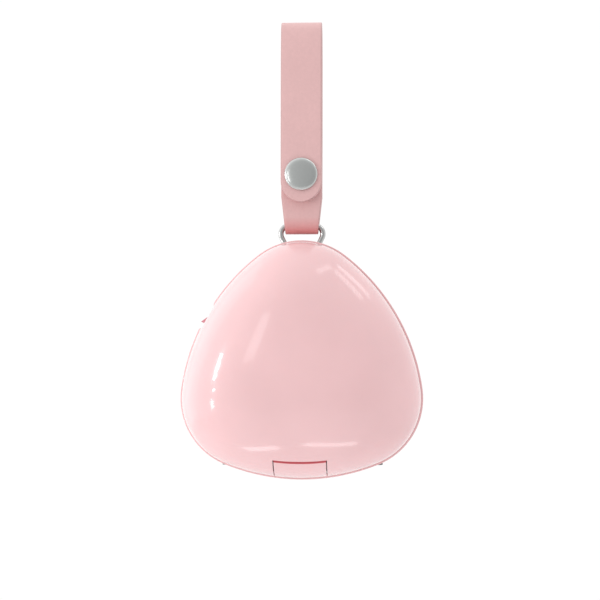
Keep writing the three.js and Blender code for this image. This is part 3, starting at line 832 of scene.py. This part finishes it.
def make_floor():
    floor = rod(2, FLOOR_R, FLOOR_TOP - FLOOR_T, FLOOR_TOP, (0, 0), 96, "floor")
    n = Nodes("pale_floor")
    tone = n.ramp(n.noise(8, 3), (0.3, (0.80, 0.80, 0.80)), (0.7, (0.84, 0.84, 0.84)))
    n.set(Base_Color=tone, Roughness=0.8)
    paint(floor, n.material)


def panel(name, azimuth, elevation, wide, high, radiance, far=0.6, centre=(0, -0.02, -0.125)):
    """A lit card seen from centre at azimuth and elevation.

    wide and high are the angles it fills, in degrees; radiance is how bright its face is.
    """
    out = toward(azimuth, elevation)
    light = bpy.data.lights.new(name, "AREA")
    light.shape = "RECTANGLE"
    light.size = 2 * far * math.tan(math.radians(wide) / 2)
    light.size_y = 2 * far * math.tan(math.radians(high) / 2)
    light.energy = radiance * math.pi * light.size * light.size_y
    facing(bpy.data.objects.new(name, light), Vector(centre) + out * far, out)


def make_world():
    """A white room: darker straight in front, brighter on the left; the backdrop is plain white."""
    world = bpy.data.worlds.new("studio")
    bpy.context.scene.world = world
    world.use_nodes = True
    tree = world.node_tree
    room = tree.nodes["Background"]
    room.inputs["Color"].default_value = (1, 1, 1, 1)
    way = tree.nodes.new("ShaderNodeTexCoord").outputs["Generated"]

    def along(x, y, z, low, high, to_low, to_high):
        dot = tree.nodes.new("ShaderNodeVectorMath")
        dot.operation = "DOT_PRODUCT"
        tree.links.new(way, dot.inputs[0])
        dot.inputs[1].default_value = Vector((x, y, z)).normalized()
        spread = tree.nodes.new("ShaderNodeMapRange")
        spread.interpolation_type = "SMOOTHSTEP"
        tree.links.new(dot.outputs["Value"], spread.inputs["Value"])
        for k, value in enumerate((low, high, to_low, to_high)):
            spread.inputs[1 + k].default_value = value
        return spread.outputs["Result"]

    front = along(0.05, -1, 0.0, 0.4, 0.97, 0.0, ROOM_LIGHT - ROOM_FRONT)
    side = along(1, 0.1, -0.1, -0.9, 0.9, ROOM_LEFT, ROOM_RIGHT)
    less = tree.nodes.new("ShaderNodeMath")
    less.operation = "SUBTRACT"
    tree.links.new(side, less.inputs[0])
    tree.links.new(front, less.inputs[1])
    tree.links.new(less.outputs[0], room.inputs["Strength"])
    seen = tree.nodes.new("ShaderNodeBackground")
    seen.inputs["Color"].default_value = (1, 1, 1, 1)
    seen.inputs["Strength"].default_value = ROOM_SEEN
    path = tree.nodes.new("ShaderNodeLightPath")
    mix = tree.nodes.new("ShaderNodeMixShader")
    tree.links.new(path.outputs["Is Camera Ray"], mix.inputs["Fac"])
    tree.links.new(room.outputs["Background"], mix.inputs[1])
    tree.links.new(seen.outputs["Background"], mix.inputs[2])
    tree.links.new(mix.outputs["Shader"], tree.nodes["World Output"].inputs["Surface"])


def make_camera():
    data = bpy.data.cameras.new("camera")
    data.sensor_width = SENSOR_MM
    data.lens = SENSOR_MM * CAMERA_FAR / (VIEW_MM * MM)
    cam = bpy.data.objects.new("camera", data)
    back = toward(CAMERA_AZ, CAMERA_EL)
    facing(cam, AIM + back * CAMERA_FAR, back)
    bpy.context.scene.camera = cam


make_floor()
make_world()
make_camera()
panel("left_window", -62, 11, 4, 13, 20)
panel("left_gap", -60, -3, 3.5, 2.5, 18)
panel("left_low", -62, -14, 3.5, 7, 12)
panel("left_sky", -108, 15, 36, 70, 0.45)
panel("snap_card", -31, 0, 8, 22, 1.7, 0.2, (0, -0.008, -0.055))
panel("upper_pane", 84, 50, 9, 18, 1.8)
panel("upper_pane_back", 108, 48, 9, 18, 1.8)
panel("upper_bar", 60, 66, 24, 6, 1.6)
panel("low_left_pane", -44, -66, 20, 5, 3.0, 0.38)
panel("low_right_pane", 23, -62, 24, 5, 3.0, 0.38)
bpy.context.scene.view_settings.view_transform = "Standard"
